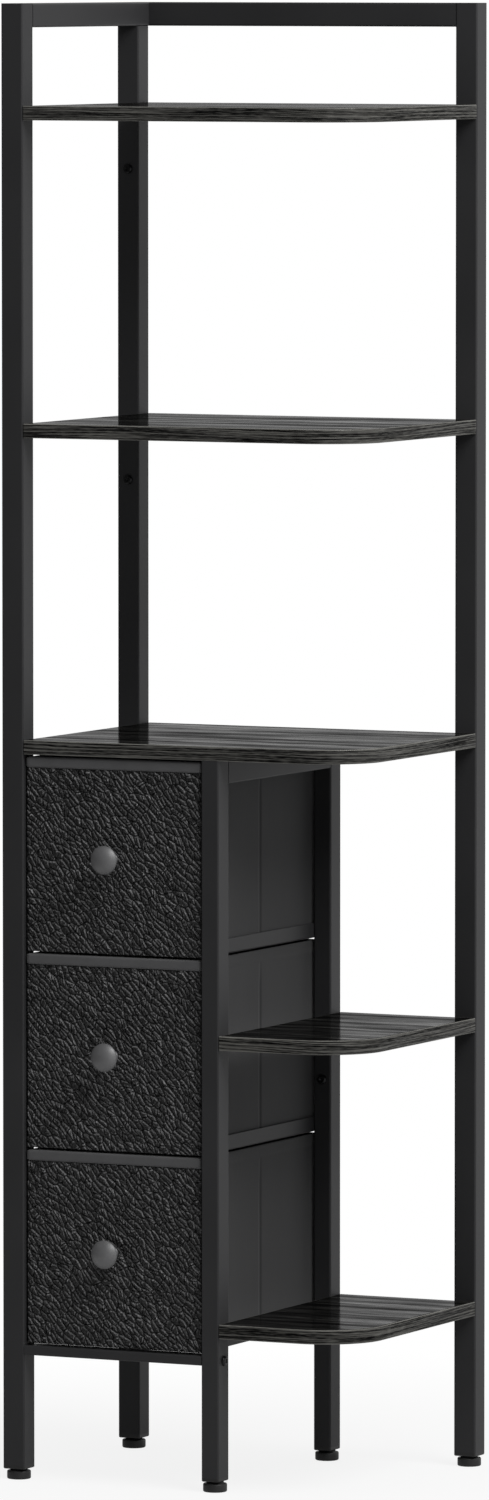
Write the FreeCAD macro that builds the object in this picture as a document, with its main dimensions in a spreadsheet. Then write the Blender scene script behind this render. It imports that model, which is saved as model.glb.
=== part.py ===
import FreeCAD, Part
import math
import os
import re
import Sketcher

# A corner shelf unit: black steel tubes, laminated boards and fabric drawers.
# X runs to the right along the wall, Y runs from the drawer fronts to the wall, Z is up.

DRIVING_SIZES = {
    # Posts and rails of rectangular steel tube
    "post_side": 25.0,
    "divider_width": 20.0,
    "divider_depth": 25.0,
    "bay_rail_height": 25.0,
    "bottom_rail_base": 132.0,
    "bottom_rail_height": 10.0,
    "bottom_rail_depth": 25.0,
    "tube_wall": 1.2,
    "tube_corner_radius": 2.0,
    "frame_height": 1541.0,
    "frame_depth": 295.0,
    "drawer_bay_width": 206.0,
    # Boards, each with one rounded corner towards the room
    "shelf_width": 383.0,
    "guard_height": 106.0,
    "middle_board_share": 0.5036,
    "lowest_board_top": 176.0,
    "board_thickness": 15.0,
    "board_corner_radius": 65.0,
    "board_edge_radius": 0.8,
    # Bent angle runners that carry the drawers
    "runner_height": 16.0,
    "runner_leg": 14.0,
    "runner_sheet": 1.5,
    "runner_bend_radius": 2.5,
    "runner_end_inset": 3.0,
    # Drawers: a fabric box on a base sheet, behind a leather-covered front board with a plain band
    "drawer_gap": 2.5,
    "drawer_side_gap": 2.0,
    "drawer_runner_clearance": 1.0,
    "seat_clearance": 0.3,
    "front_thickness": 10.0,
    "front_recess": 3.0,
    "front_edge_radius": 3.0,
    "band_height": 11.0,
    "band_edge_radius": 2.0,
    "box_rear_gap": 7.0,
    "box_wall": 3.0,
    "box_corner_radius": 2.5,
    "base_thickness": 3.0,
    "base_corner_radius": 3.0,
    "base_clearance": 0.5,
    # Turned drawer knob and its screw
    "knob_height": 100.0,
    "knob_radius": 15.0,
    "knob_reach": 30.0,
    "knob_head_depth": 16.0,
    "knob_dome_depth": 7.5,
    "knob_rim_thickness": 1.5,
    "knob_rim_radius": 0.6,
    "knob_neck_radius": 4.8,
    "knob_base_radius": 5.6,
    "knob_base_depth": 1.6,
    "knob_screw_radius": 2.0,
    "knob_screw_depth": 10.0,
    "knob_screw_head_radius": 4.0,
    "knob_screw_head_depth": 2.4,
    "knob_screw_head_rounding": 0.8,
    "knob_screw_clearance": 0.2,
    # Round-headed bolts, threaded sleeves in the boards and nuts in the rail ends
    "bolt_radius": 3.0,
    "bolt_head_radius": 5.25,
    "bolt_head_height": 3.0,
    "bolt_head_rounding": 1.8,
    "bolt_clearance": 0.3,
    "bolt_grip": 10.0,
    "post_bolt_length": 12.0,
    "post_bolt_drop": 70.0,
    "access_hole_radius": 6.0,
    "sleeve_radius": 4.5,
    "sleeve_length": 12.0,
    "sleeve_clearance": 0.1,
    "end_nut_length": 12.0,
    # Levelling feet that screw into plastic caps in the tube ends
    "foot_radius": 12.5,
    "foot_pad_height": 9.0,
    "foot_edge_radius": 1.5,
    "foot_neck_radius": 9.0,
    "foot_neck_height": 2.0,
    "foot_stem_radius": 4.0,
    "foot_stem_length": 26.0,
    "foot_stem_clearance": 0.05,
    "cap_flange_height": 4.0,
    "cap_flange_radius": 1.5,
    "cap_plug_height": 15.0,
    "top_plug_height": 7.0,
    "plug_clearance": 0.1,
    # How far every cut runs past the face that it opens
    "overrun": 1.0,
}

DERIVED_PLACES = {
    "overall_width": "=post_side + shelf_width",
    "overall_depth": "=frame_depth + post_side",
    "left": "=-(overall_width - bolt_head_height) / 2",
    "knob_overhang": "=knob_reach - front_recess",
    "front": "=-(overall_depth + bolt_head_height - knob_overhang) / 2",
    "drawer_face": "=front + front_recess",
    "bay_left": "=left + post_side",
    "divider_left": "=bay_left + drawer_bay_width",
    "divider_right": "=divider_left + divider_width",
    "right_post_left": "=left + overall_width - post_side",
    "rear_post_front": "=front + frame_depth - post_side",
    "rear_divider_front": "=front + frame_depth - divider_depth",
    "right_post_front": "=front + frame_depth",
    "rear_face": "=front + overall_depth",
    "tube_base": "=foot_pad_height + foot_neck_height + cap_flange_height",
    "top_rail_base": "=frame_height - post_side",
    "shelf_1_top": "=frame_height - guard_height",
    "shelf_3_top": "=frame_height * middle_board_share",
    "shelf_5_top": "=lowest_board_top",
    "shelf_2_top": "=(shelf_1_top + shelf_3_top) / 2",
    "shelf_4_top": "=(shelf_3_top + shelf_5_top) / 2",
    "bay_top": "=shelf_3_top - board_thickness",
    "half_board": "=board_thickness / 2",
    "half_post": "=post_side / 2",
    "half_divider_width": "=divider_width / 2",
    "half_divider_depth": "=divider_depth / 2",
    "drawer_3_floor": "=bottom_rail_base + bottom_rail_height + drawer_gap",
    "drawer_pitch": "=(bay_top - drawer_3_floor) / 3",
    "drawer_2_floor": "=drawer_3_floor + drawer_pitch",
    "drawer_1_floor": "=drawer_2_floor + drawer_pitch",
    "drawer_rise": "=drawer_pitch - drawer_gap",
    "box_height": "=drawer_rise - runner_sheet - seat_clearance",
    "box_depth": "=frame_depth - front_recess - front_thickness - box_rear_gap",
    "bottom_rail_middle": "=bottom_rail_base + bottom_rail_height / 2",
    "front_rail_bolt_y": "=front + bottom_rail_depth / 2",
    "rear_rail_front": "=right_post_front - bottom_rail_depth",
    "rear_rail_bolt_y": "=rear_rail_front + bottom_rail_depth / 2",
    "box_left": "=bay_left + runner_sheet + drawer_runner_clearance",
    "box_width": "=drawer_bay_width - 2 * (runner_sheet + drawer_runner_clearance)",
    "box_inner_width": "=box_width - 2 * box_wall",
    "box_lift": "=runner_sheet + seat_clearance",
    "front_width": "=drawer_bay_width - 2 * drawer_side_gap",
    "knob_x": "=bay_left + drawer_bay_width / 2",
    "knob_rim_front": "=knob_dome_depth - knob_reach",
    "knob_rim_back": "=knob_rim_front + knob_rim_thickness",
    "runner_front": "=drawer_face + front_thickness + seat_clearance",
    "runner_length": "=front + frame_depth - runner_front - runner_end_inset",
    "bolt_hole_radius": "=bolt_radius + bolt_clearance",
    "sleeve_hole_radius": "=sleeve_radius + sleeve_clearance",
    "sleeve_hole_depth": "=sleeve_length + overrun",
    "knob_screw_hole_radius": "=knob_screw_radius + knob_screw_clearance",
}

WIDE_SHELVES = ("shelf_1", "shelf_2", "shelf_3")
SHORT_SHELVES = ("shelf_4", "shelf_5")
SHELVES = WIDE_SHELVES + SHORT_SHELVES
DRAWERS = ("drawer_1", "drawer_2", "drawer_3")

# How closely an edge has to lie on a plane to be picked for rounding
EDGE_TOLERANCE = 1e-6

doc = FreeCAD.newDocument("corner_shelf_unit")
sheet = doc.addObject("Spreadsheet::Sheet", "Sizes")
cells = [(alias, str(value)) for alias, value in DRIVING_SIZES.items()]
cells += list(DERIVED_PLACES.items())
for row, (alias, content) in enumerate(cells, start=1):
    sheet.set(f"A{row}", alias)
    sheet.set(f"B{row}", content)
    sheet.setAlias(f"B{row}", alias)
doc.recompute()

sub_parts = []


def from_sheet(text):
    """Turns a formula in plain size names into one that reads the sheet."""
    return re.sub(r"[a-z]\w*", r"Sizes.\g<0>", str(text))


def value_of(text):
    """The present value of a formula in size names."""
    return float(sheet.evalExpression(from_sheet(text)))


def place(item, x, y, z):
    """Ties an object's position to the sheet."""
    for axis, formula in zip("xyz", (x, y, z)):
        item.setExpression(f"Placement.Base.{axis}", from_sheet(formula))


def new_body(label, x, y, z):
    """An empty body at a place in the unit's frame."""
    body = doc.addObject("PartDesign::Body", label)
    body.Label = label
    place(body, x, y, z)
    return body


def new_piece(label, x, y, z):
    """A body that is a sub-part by itself."""
    body = new_body(label, x, y, z)
    sub_parts.append(body)
    return body


def sketch_on(body, role, offset="0"):
    """A sketch on one of the body's own origin planes, or level with it at an offset."""
    plane = next(item for item in body.Origin.OriginFeatures if item.Role == role)
    sketch = body.newObject("Sketcher::SketchObject", "sketch")
    sketch.AttachmentSupport = [(plane, "")]
    sketch.MapMode = "FlatFace"
    sketch.setExpression("AttachmentOffset.Base.z", from_sheet(offset))
    return sketch


def bind(sketch, constraint, formula):
    """Adds a constraint whose value follows the sheet."""
    index = sketch.addConstraint(constraint)
    sketch.setExpression(f"Constraints[{index}]", from_sheet(formula))


def hold_point(sketch, geometry, point, axis, formula):
    """Holds one coordinate of a point: on the axis where it is zero, else at its distance."""
    if str(formula) == "0":
        axis_line = -2 if axis == "X" else -1
        sketch.addConstraint(Sketcher.Constraint("PointOnObject", geometry, point, axis_line))
    else:
        distance = Sketcher.Constraint(f"Distance{axis}", -1, 1, geometry, point, value_of(formula))
        bind(sketch, distance, formula)


def outline(sketch, corners):
    """A closed outline of level and upright lines, drawn anticlockwise.

    Each corner is (x, y) or (x, y, radius), in formulas; a radius rounds that corner.
    """
    points = [FreeCAD.Vector(value_of(corner[0]), value_of(corner[1]), 0) for corner in corners]
    radii = [value_of(corner[2]) if len(corner) > 2 else 0 for corner in corners]
    count = len(corners)
    ways = []
    for i in range(count):
        ways.append((points[(i + 1) % count] - points[i]).normalize())
    lines = []
    for i in range(count):
        following = (i + 1) % count
        start = points[i] + ways[i] * radii[i]
        end = points[following] - ways[i] * radii[following]
        line = sketch.addGeometry(Part.LineSegment(start, end))
        level = abs(ways[i].x) > abs(ways[i].y)
        sketch.addConstraint(Sketcher.Constraint("Horizontal" if level else "Vertical", line))
        axis = "Y" if level else "X"
        hold_point(sketch, line, 1, axis, corners[i][1 if level else 0])
        lines.append(line)
    for i in range(count):
        before = lines[i - 1]
        after = lines[i]
        if radii[i] == 0:
            sketch.addConstraint(Sketcher.Constraint("Coincident", before, 2, after, 1))
            continue
        centre = points[i] - ways[i - 1] * radii[i] + ways[i] * radii[i]
        arrive = points[i] - ways[i - 1] * radii[i] - centre
        leave = points[i] + ways[i] * radii[i] - centre
        turns_left = ways[i - 1].cross(ways[i]).z > 0
        first, last = (arrive, leave) if turns_left else (leave, arrive)
        first_angle = math.atan2(first.y, first.x)
        last_angle = math.atan2(last.y, last.x)
        circle = Part.Circle(centre, FreeCAD.Vector(0, 0, 1), radii[i])
        arc = sketch.addGeometry(Part.ArcOfCircle(circle, first_angle, last_angle))
        arrive_end, leave_end = (1, 2) if turns_left else (2, 1)
        sketch.addConstraint(Sketcher.Constraint("Tangent", before, 2, arc, arrive_end))
        sketch.addConstraint(Sketcher.Constraint("Tangent", arc, leave_end, after, 1))
        bind(sketch, Sketcher.Constraint("Radius", arc, radii[i]), corners[i][2])


def turned_outline(sketch, corners):
    """A closed outline whose sides may slope, for turning about the upright axis.

    Each corner is (x, y) in formulas, or (x, y, "dome") where the side that leaves it is an arc
    centred on that axis.
    """
    points = [FreeCAD.Vector(value_of(corner[0]), value_of(corner[1]), 0) for corner in corners]
    count = len(corners)
    sides = []
    for i in range(count):
        start = points[i]
        end = points[(i + 1) % count]
        if len(corners[i]) == 2:
            sides.append((sketch.addGeometry(Part.LineSegment(start, end)), 1, 2))
            continue
        centre = FreeCAD.Vector(0, (end.dot(end) - start.dot(start)) / (2 * (end.y - start.y)), 0)
        turns_left = (start - centre).cross(end - centre).z > 0
        first, last = (start - centre, end - centre) if turns_left else (end - centre, start - centre)
        circle = Part.Circle(centre, FreeCAD.Vector(0, 0, 1), first.Length)
        first_angle = math.atan2(first.y, first.x)
        last_angle = math.atan2(last.y, last.x)
        arc = sketch.addGeometry(Part.ArcOfCircle(circle, first_angle, last_angle))
        hold_point(sketch, arc, 3, "X", "0")
        sides.append((arc, 1, 2) if turns_left else (arc, 2, 1))
    for i, (side, leave, arrive) in enumerate(sides):
        hold_point(sketch, side, leave, "X", corners[i][0])
        hold_point(sketch, side, leave, "Y", corners[i][1])
        after, after_leave, _ = sides[(i + 1) % count]
        sketch.addConstraint(Sketcher.Constraint("Coincident", side, arrive, after, after_leave))


def rectangle(x, y, width, height, radius=None):
    """Corners of a rectangle, all sharp or all rounded alike."""
    spots = ((x, y), (f"{x} + {width}", y), (f"{x} + {width}", f"{y} + {height}"), (x, f"{y} + {height}"))
    return [spot + (radius,) if radius else spot for spot in spots]


def circle(sketch, x, y, radius):
    """A circle whose centre and radius follow the sheet."""
    centre = FreeCAD.Vector(value_of(x), value_of(y), 0)
    shape = sketch.addGeometry(Part.Circle(centre, FreeCAD.Vector(0, 0, 1), value_of(radius)))
    hold_point(sketch, shape, 3, "X", x)
    hold_point(sketch, shape, 3, "Y", y)
    bind(sketch, Sketcher.Constraint("Radius", shape, value_of(radius)), radius)


def pad(body, sketch, length, reverse=False):
    """Pads a sketch along its plane's normal, or against it."""
    feature = body.newObject("PartDesign::Pad", "pad")
    feature.Profile = sketch
    feature.Reversed = reverse
    feature.setExpression("Length", from_sheet(length))
    return feature


def cut(body, sketch, depth=None):
    """Cuts a sketch to a depth on both sides of its plane, or right through."""
    feature = body.newObject("PartDesign::Pocket", "cut")
    feature.Profile = sketch
    feature.SideType = "Symmetric"
    if depth is None:
        feature.Type = "ThroughAll"
    else:
        feature.setExpression("Length", from_sheet(f"2 * ({depth})"))
    return feature


def revolve(body, sketch):
    """Turns a profile about its sketch's upright axis."""
    feature = body.newObject("PartDesign::Revolution", "turned")
    feature.Profile = sketch
    feature.ReferenceAxis = (sketch, ["V_Axis"])
    feature.Angle = 360
    return feature


def round_edges(body, feature, radius, wanted):
    """Fillets the edges of a feature that answer the wanted test."""
    doc.recompute()
    edges = enumerate(feature.Shape.Edges, start=1)
    fillet = body.newObject("PartDesign::Fillet", "rounded")
    fillet.Base = (feature, [f"Edge{number}" for number, edge in edges if wanted(edge)])
    fillet.setExpression("Radius", from_sheet(radius))
    return fillet


def lies_at(edge, axis, formula):
    """Whether an edge lies wholly at one value of x, y or z."""
    value = value_of(formula)
    box = edge.BoundBox
    ends = (getattr(box, f"{axis}Min"), getattr(box, f"{axis}Max"))
    return all(math.isclose(end, value, abs_tol=EDGE_TOLERANCE) for end in ends)


def holes(body, role, places, radius, depth=None, offset="0"):
    """Round holes at places on one of the body's planes."""
    sketch = sketch_on(body, role, offset)
    for x, y in places:
        circle(sketch, x, y, radius)
    return cut(body, sketch, depth)


FACING = {
    "up": FreeCAD.Rotation(),
    "turned": FreeCAD.Rotation(FreeCAD.Vector(0, 0, 1), 180),
    "right": FreeCAD.Rotation(FreeCAD.Vector(0, 1, 0), 90),
    "left": FreeCAD.Rotation(FreeCAD.Vector(0, 1, 0), -90),
    "back": FreeCAD.Rotation(FreeCAD.Vector(1, 0, 0), -90),
    "front": FreeCAD.Rotation(FreeCAD.Vector(1, 0, 0), 90),
}


def group(label, copies):
    """One sub-part of like pieces: each copy is (pattern body, facing, x, y, z)."""
    links = []
    for number, (pattern, facing, x, y, z) in enumerate(copies, start=1):
        link = doc.addObject("App::Link", f"{label}_{number}")
        link.LinkedObject = pattern
        link.Placement = FreeCAD.Placement(FreeCAD.Vector(), FACING[facing])
        place(link, x, y, z)
        links.append(link)
    compound = doc.addObject("Part::Compound", label)
    compound.Label = label
    compound.Links = links
    sub_parts.append(compound)


# Steel tube, drawn as its outer and inner outlines


def tube_section(sketch, width, height):
    """A tube's section: rounded outside, square inside."""
    outline(sketch, rectangle("0", "0", width, height, "tube_corner_radius"))
    inner_width = f"{width} - 2 * tube_wall"
    inner_height = f"{height} - 2 * tube_wall"
    outline(sketch, rectangle("tube_wall", "tube_wall", inner_width, inner_height))


def post(label, x, y, width, depth, top):
    """An upright tube from its foot cap to its top."""
    body = new_piece(label, x, y, "tube_base")
    section = sketch_on(body, "XY_Plane")
    tube_section(section, width, depth)
    pad(body, section, f"{top} - tube_base")
    return body


def rail_across(label, x, y, z, depth, height, length):
    """A level tube that runs to the right."""
    body = new_piece(label, x, y, z)
    section = sketch_on(body, "YZ_Plane")
    tube_section(section, depth, height)
    pad(body, section, length)
    return body


def rail_inwards(label, x, y, z, width, height, length):
    """A level tube that runs from the front to the back."""
    body = new_piece(label, x, y, z)
    section = sketch_on(body, "XZ_Plane")
    tube_section(section, width, height)
    pad(body, section, length, reverse=True)
    return body


# Posts, drilled for the bolts that hold the boards and the bottom rails

board_middles = {shelf: f"{shelf}_top - half_board" for shelf in SHELVES}
hole_heights = {shelf: f"{board_middles[shelf]} - tube_base" for shelf in SHELVES}
rail_hole_height = "bottom_rail_middle - tube_base"

front_left_post = post("front_left_post", "left", "front", "post_side", "post_side", "frame_height")
places = [("half_post", hole_heights[shelf]) for shelf in WIDE_SHELVES]
places.append(("bottom_rail_depth / 2", rail_hole_height))
holes(front_left_post, "YZ_Plane", places, "bolt_hole_radius")

rear_left_post = post("rear_left_post", "left", "rear_post_front", "post_side", "post_side", "top_rail_base")
places = [("half_post", hole_heights[shelf]) for shelf in WIDE_SHELVES]
places.append(("post_side - bottom_rail_depth / 2", rail_hole_height))
holes(rear_left_post, "YZ_Plane", places, "bolt_hole_radius")
places = [("half_post", f"{shelf}_top - post_bolt_drop - tube_base") for shelf in ("shelf_1", "shelf_2")]
holes(rear_left_post, "XZ_Plane", places, "bolt_hole_radius", "tube_wall + overrun")

right_post = post(
    "right_post", "right_post_left", "right_post_front", "post_side", "post_side", "frame_height"
)
places = [("half_post", hole_heights[shelf]) for shelf in SHELVES]
holes(right_post, "XZ_Plane", places, "bolt_hole_radius")

low_places = [("half_divider_depth", hole_heights[shelf]) for shelf in SHORT_SHELVES]
front_divider = post(
    "front_divider_post", "divider_left", "front", "divider_width", "divider_depth", "bay_top"
)
places = low_places + [("bottom_rail_depth / 2", rail_hole_height)]
holes(front_divider, "YZ_Plane", places, "bolt_hole_radius")
holes(front_divider, "YZ_Plane", low_places, "access_hole_radius", "tube_wall + overrun")

rear_divider = post(
    "rear_divider_post", "divider_left", "rear_divider_front", "divider_width", "divider_depth", "bay_top"
)
places = low_places + [("divider_depth - bottom_rail_depth / 2", rail_hole_height)]
holes(rear_divider, "YZ_Plane", places, "bolt_hole_radius")
holes(rear_divider, "YZ_Plane", low_places, "access_hole_radius", "tube_wall + overrun")
places = [("half_divider_width", "shelf_4_top - post_bolt_drop - tube_base")]
holes(rear_divider, "XZ_Plane", places, "bolt_hole_radius", "tube_wall + overrun")

# Rails: the top pair round the corner, the one under the middle board, and the bottom pair

side_rail_length = "frame_depth"
top_side_rail = rail_inwards(
    "top_side_rail", "left", "front + post_side", "top_rail_base", "post_side", "post_side", side_rail_length
)
holes(top_side_rail, "YZ_Plane", [(f"{side_rail_length} - half_post", "half_post")], "bolt_hole_radius")
rail_across(
    "top_back_rail", "bay_left", "right_post_front", "top_rail_base",
    "post_side", "post_side", "shelf_width - post_side",
)
rail_inwards(
    "bay_top_rail", "divider_left", "front + divider_depth", "bay_top - bay_rail_height",
    "divider_width", "bay_rail_height", "frame_depth - 2 * divider_depth",
)
for label, y in (("front_bottom_rail", "front"), ("rear_bottom_rail", "rear_rail_front")):
    rail_across(
        label, "bay_left", y, "bottom_rail_base",
        "bottom_rail_depth", "bottom_rail_height", "drawer_bay_width",
    )


# Runners: steel angles along both sides of the bay, one pair for each drawer


def runner(label, x, z, toes_right):
    """A bent angle: an upright leg against the posts and a level leg under the drawer."""
    body = new_piece(label, x, "runner_front", z)
    section = sketch_on(body, "XZ_Plane")
    inner_bend = "runner_bend_radius - runner_sheet"
    if toes_right:
        corners = [
            ("0", "0", "runner_bend_radius"),
            ("runner_leg", "0"),
            ("runner_leg", "runner_sheet"),
            ("runner_sheet", "runner_sheet", inner_bend),
            ("runner_sheet", "runner_height"),
            ("0", "runner_height"),
        ]
    else:
        corners = [
            ("-runner_leg", "0"),
            ("0", "0", "runner_bend_radius"),
            ("0", "runner_height"),
            ("-runner_sheet", "runner_height"),
            ("-runner_sheet", "runner_sheet", inner_bend),
            ("-runner_leg", "runner_sheet"),
        ]
    outline(section, corners)
    pad(body, section, "runner_length", reverse=True)


for drawer in DRAWERS:
    runner(drawer.replace("drawer", "left_runner"), "bay_left", f"{drawer}_floor", True)
    runner(drawer.replace("drawer", "right_runner"), "divider_left", f"{drawer}_floor", False)


# Boards: one rounded corner, softened edges, and bores in the edges for the threaded sleeves


def board(shelf, x, width, depth_of_side_post):
    """A shelf board, bored in its left edge at both posts and in its back edge at the right post."""
    body = new_piece(shelf.replace("shelf", "shelf_board"), x, "front", f"{shelf}_top - board_thickness")
    plan = sketch_on(body, "XY_Plane")
    corners = [("0", "0"), (width, "0", "board_corner_radius"), (width, "frame_depth"), ("0", "frame_depth")]
    outline(plan, corners)
    slab = pad(body, plan, "board_thickness")
    round_edges(
        body, slab, "board_edge_radius",
        lambda edge: lies_at(edge, "Z", "0") or lies_at(edge, "Z", "board_thickness"),
    )
    side_bores = [(f"{depth_of_side_post} / 2", "half_board")]
    side_bores.append((f"frame_depth - {depth_of_side_post} / 2", "half_board"))
    holes(body, "YZ_Plane", side_bores, "sleeve_hole_radius", "sleeve_hole_depth")
    back_bore = [(f"{width} - half_post", "half_board")]
    holes(body, "XZ_Plane", back_bore, "sleeve_hole_radius", "sleeve_hole_depth", offset="-frame_depth")


for shelf in WIDE_SHELVES:
    board(shelf, "bay_left", "shelf_width", "post_side")
short_width = "shelf_width - drawer_bay_width - divider_width"
for shelf in SHORT_SHELVES:
    board(shelf, "divider_right", short_width, "divider_depth")


# Drawers: the fabric box, its base sheet, the leather-covered front board and the plain band above it


def panel(label, corners, height):
    """A stiff fabric-covered panel of the box, drawn in plan from its own corner."""
    body = new_body(label, "0", "0", "0")
    plan = sketch_on(body, "XY_Plane")
    outline(plan, corners)
    pad(body, plan, height)
    return body


side_panel = panel("box_side_pattern", [
    ("0", "0", "box_corner_radius"),
    ("box_wall", "0"),
    ("box_wall", "box_depth"),
    ("0", "box_depth", "box_corner_radius"),
], "box_height")
back_panel = panel("box_back_pattern", rectangle("0", "0", "box_inner_width", "box_wall"), "box_height")
front_panel = panel("box_front_pattern", rectangle("0", "0", "box_inner_width", "box_wall"), "box_height")
screw_place = [("box_inner_width / 2", "knob_height - box_lift")]
holes(front_panel, "XZ_Plane", screw_place, "knob_screw_hole_radius", "box_wall + overrun")
floor_plan = rectangle("0", "0", "box_inner_width", "box_depth - 2 * box_wall")
floor_panel = panel("box_floor_pattern", floor_plan, "box_wall")


def drawer_box(label, floor):
    """An open box sewn of five panels: two long sides, the ends between them and a floor inside."""
    x = "box_left + box_wall"
    y = "drawer_face + front_thickness"
    z = f"{floor} + box_lift"
    group(label, [
        (side_panel, "up", "box_left", y, z),
        (side_panel, "turned", "box_left + box_width", f"{y} + box_depth", z),
        (front_panel, "up", x, y, z),
        (back_panel, "up", x, f"{y} + box_depth - box_wall", z),
        (floor_panel, "up", x, f"{y} + box_wall", z),
    ])


def base_sheet(label, floor):
    """The stiff sheet that lies in the bottom of the box."""
    inset = "box_wall + base_clearance"
    y = f"drawer_face + front_thickness + {inset}"
    body = new_piece(label, f"box_left + {inset}", y, f"{floor} + box_lift + box_wall")
    plan = sketch_on(body, "XY_Plane")
    width = f"box_width - 2 * ({inset})"
    depth = f"box_depth - 2 * ({inset})"
    outline(plan, rectangle("0", "0", width, depth, "base_corner_radius"))
    pad(body, plan, "base_thickness")


def drawer_front(label, floor):
    """The leather-covered front board, rounded along the edges of its face."""
    body = new_piece(label, "bay_left + drawer_side_gap", "drawer_face", floor)
    face = sketch_on(body, "XZ_Plane")
    outline(face, rectangle("0", "0", "front_width", "drawer_rise - band_height"))
    panel = pad(body, face, "front_thickness", reverse=True)
    round_edges(body, panel, "front_edge_radius", lambda edge: lies_at(edge, "Y", "0"))
    holes(body, "XZ_Plane", [("front_width / 2", "knob_height")], "knob_screw_hole_radius")


def drawer_band(label, floor):
    """The plain strip along the top of the front."""
    base = f"{floor} + drawer_rise - band_height"
    body = new_piece(label, "bay_left + drawer_side_gap", "drawer_face", base)
    face = sketch_on(body, "XZ_Plane")
    outline(face, rectangle("0", "0", "front_width", "band_height"))
    strip = pad(body, face, "front_thickness", reverse=True)
    round_edges(body, strip, "band_edge_radius", lambda edge: lies_at(edge, "Y", "0"))


def knob(label, floor):
    """A turned knob: a base disc, a neck that flares to a thin rim, and a domed face, bored for its screw."""
    body = new_piece(label, "knob_x", "drawer_face", f"{floor} + knob_height")
    profile = sketch_on(body, "XY_Plane")
    turned_outline(profile, [
        ("0", "-knob_reach", "dome"),
        ("knob_radius", "knob_rim_front"),
        ("knob_radius", "knob_rim_back"),
        ("knob_neck_radius", "-(knob_reach - knob_head_depth)"),
        ("knob_neck_radius", "-knob_base_depth"),
        ("knob_base_radius", "-knob_base_depth"),
        ("knob_base_radius", "0"),
        ("knob_screw_hole_radius", "0"),
        ("knob_screw_hole_radius", "-(knob_screw_depth + overrun)"),
        ("0", "-(knob_screw_depth + overrun)"),
    ])
    turned = revolve(body, profile)
    rims = ("knob_rim_front", "knob_rim_back")
    round_edges(body, turned, "knob_rim_radius", lambda edge: any(lies_at(edge, "Y", rim) for rim in rims))


def knob_screw(label, floor):
    """The screw that holds the knob from inside the box."""
    body = new_piece(label, "knob_x", "drawer_face + front_thickness + box_wall", f"{floor} + knob_height")
    profile = sketch_on(body, "XY_Plane")
    outline(profile, [
        ("0", "-(box_wall + front_thickness + knob_screw_depth)"),
        ("knob_screw_radius", "-(box_wall + front_thickness + knob_screw_depth)"),
        ("knob_screw_radius", "0"),
        ("knob_screw_head_radius", "0"),
        ("knob_screw_head_radius", "knob_screw_head_depth", "knob_screw_head_rounding"),
        ("0", "knob_screw_head_depth"),
    ])
    revolve(body, profile)


for drawer in DRAWERS:
    floor = f"{drawer}_floor"
    drawer_box(f"{drawer}_box", floor)
    base_sheet(f"{drawer}_base_sheet", floor)
    drawer_front(f"{drawer}_front", floor)
    drawer_band(f"{drawer}_band", floor)
    knob(f"{drawer}_knob", floor)
    knob_screw(f"{drawer}_knob_screw", floor)


# Feet: a round pad, a short neck and a stem that screws into the cap of its post


def foot(label, x, y):
    """A levelling foot, turned in one piece."""
    body = new_piece(label, x, y, "0")
    profile = sketch_on(body, "XZ_Plane")
    neck_top = "foot_pad_height + foot_neck_height"
    outline(profile, [
        ("0", "0"),
        ("foot_radius", "0", "foot_edge_radius"),
        ("foot_radius", "foot_pad_height", "foot_edge_radius"),
        ("foot_neck_radius", "foot_pad_height"),
        ("foot_neck_radius", neck_top),
        ("foot_stem_radius", neck_top),
        ("foot_stem_radius", f"{neck_top} + foot_stem_length"),
        ("0", f"{neck_top} + foot_stem_length"),
    ])
    revolve(body, profile)


post_feet = {
    "front_left_foot": ("left + half_post", "front + half_post"),
    "rear_left_foot": ("left + half_post", "rear_post_front + half_post"),
    "right_foot": ("right_post_left + half_post", "right_post_front + half_post"),
}
divider_feet = {
    "front_divider_foot": ("divider_left + half_divider_width", "front + half_divider_depth"),
    "rear_divider_foot": ("divider_left + half_divider_width", "rear_divider_front + half_divider_depth"),
}
for label, (x, y) in {**post_feet, **divider_feet}.items():
    foot(label, x, y)


# Caps and plugs: plastic mouldings that close the tube ends


def foot_cap(label, width, depth):
    """A flange under the tube and a plug inside it, bored for the foot's stem, about its own middle."""
    body = new_body(label, "0", "0", "0")
    flange_plan = sketch_on(body, "XY_Plane")
    outline(flange_plan, rectangle(f"-{width} / 2", f"-{depth} / 2", width, depth, "tube_corner_radius"))
    flange = pad(body, flange_plan, "cap_flange_height", reverse=True)
    round_edges(body, flange, "cap_flange_radius", lambda edge: lies_at(edge, "Z", "-cap_flange_height"))
    plug_plan = sketch_on(body, "XY_Plane")
    margin = "(tube_wall + plug_clearance)"
    inner_width = f"{width} - 2 * {margin}"
    inner_depth = f"{depth} - 2 * {margin}"
    corner = (f"-{width} / 2 + {margin}", f"-{depth} / 2 + {margin}")
    outline(plug_plan, rectangle(corner[0], corner[1], inner_width, inner_depth))
    pad(body, plug_plan, "cap_plug_height")
    holes(body, "XY_Plane", [("0", "0")], "foot_stem_radius + foot_stem_clearance")
    return body


def block(label, role, x, y, width, height, length, bore=None):
    """A block with its near end on a plane, with a bore along its middle if it is a nut."""
    body = new_body(label, "0", "0", "0")
    section = sketch_on(body, role)
    outline(section, rectangle(x, y, width, height))
    pad(body, section, length)
    if bore:
        holes(body, role, [("0", "0")], bore)
    return body


post_cap = foot_cap("post_cap_pattern", "post_side", "post_side")
divider_cap = foot_cap("divider_cap_pattern", "divider_width", "divider_depth")
group("post_foot_caps", [(post_cap, "up", x, y, "tube_base") for x, y in post_feet.values()])
group("divider_foot_caps", [(divider_cap, "up", x, y, "tube_base") for x, y in divider_feet.values()])

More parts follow.
